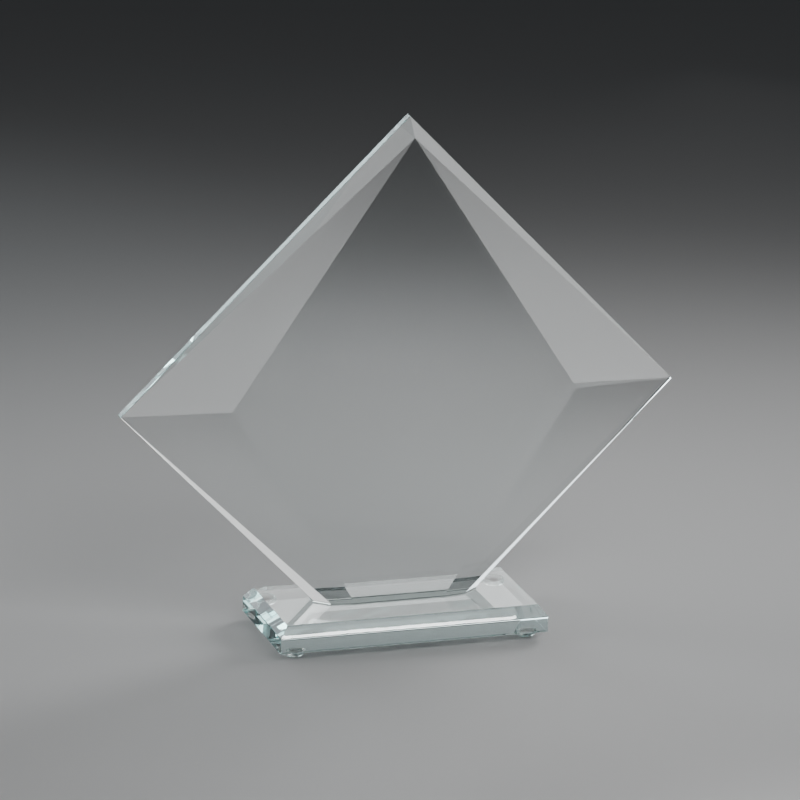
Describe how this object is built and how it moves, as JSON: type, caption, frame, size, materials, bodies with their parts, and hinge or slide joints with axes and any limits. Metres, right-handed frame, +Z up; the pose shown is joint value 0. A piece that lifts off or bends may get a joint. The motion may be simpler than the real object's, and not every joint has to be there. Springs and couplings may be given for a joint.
{
  "type": "crystal award",
  "caption": "Faceted clear glass diamond standing on its corner, bonded to a bevelled rectangular glass base with clear bumper feet.",
  "frame": {"origin": "on the standing surface, under the middle of the rectangular base", "axes": "+Z up; +X along the base's length and the diamond's wide diagonal; -Y is the cut front, +Y the plain back"},
  "size_m": [0.2118, 0.048, 0.1954],
  "materials": {
    "plate_glass": "polished clear low-iron glass, faint green in its edges",
    "base_glass": "polished clear glass, faint green in its edges",
    "cured_adhesive": "clear cured UV adhesive",
    "clear_bumper": "clear polyurethane, slightly milky",
    "bumper_adhesive": "clear pressure-sensitive acrylic adhesive"
  },
  "bodies": {
    "root": {"diamond_plate": "plate_glass", "glass_base": "base_glass", "uv_bond_film": "cured_adhesive", "foot_front_left": "clear_bumper", "foot_front_right": "clear_bumper", "foot_rear_left": "clear_bumper", "foot_rear_right": "clear_bumper", "foot_adhesive_front_left": "bumper_adhesive", "foot_adhesive_front_right": "bumper_adhesive", "foot_adhesive_rear_left": "bumper_adhesive", "foot_adhesive_rear_right": "bumper_adhesive"}
  },
  "joints": []
}
